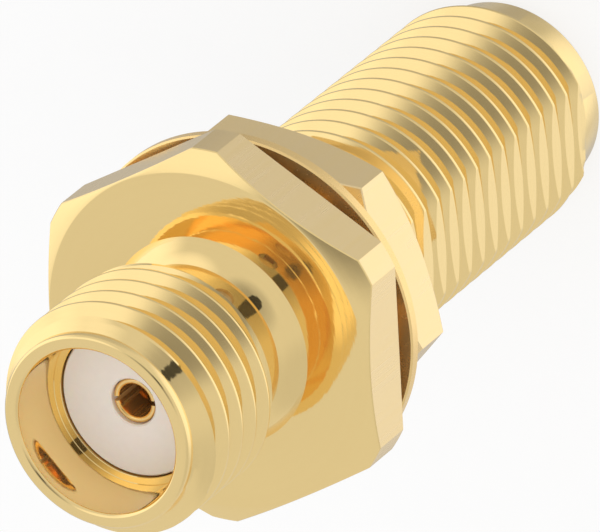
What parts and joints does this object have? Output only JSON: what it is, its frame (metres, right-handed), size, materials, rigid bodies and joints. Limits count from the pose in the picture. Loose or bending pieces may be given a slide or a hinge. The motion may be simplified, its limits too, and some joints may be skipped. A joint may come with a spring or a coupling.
{
  "type": "sma connector",
  "caption": "Threaded coaxial bulkhead adapter with a female jack at each end, a hexagonal flange, a toothed lock washer and a hexagonal nut.",
  "frame": {"origin": "centre of the long barrel's end face, on which the part stands", "axes": "+Z along the axis towards the short jack; the barrel's long flat faces -Y"},
  "size_m": [0.0106, 0.0098, 0.0223],
  "materials": {
    "gold_body": "gold plated, turned and polished",
    "gold_washer": "gold plated, stamped",
    "gold_nut": "gold plated, satin",
    "gold_contact": "gold plated, polished",
    "insulator": "smooth waxy fluoropolymer",
    "resin": "cured resin"
  },
  "bodies": {
    "connector": {"body": "gold_body", "insulator_near": "insulator", "insulator_far": "insulator", "contact": "gold_contact", "captivation_plug": "resin"},
    "washer": {"washer": "gold_washer"},
    "nut": {"nut": "gold_nut"}
  },
  "joints": [
    {"name": "nut_travel", "type": "slide", "parent": "connector", "child": "washer", "axis": [0, 0, -1], "range_m": [0, 0.0103]},
    {"name": "nut_turn", "type": "hinge", "parent": "washer", "child": "nut", "pos_m": [0, 0, 0.0126], "axis": [0, 0, -1], "range_deg": [0, 5260]}
  ],
  "couplings": [
    {"joint": "nut_turn", "follows": "nut_travel", "rad_per_m": 8905.3}
  ]
}
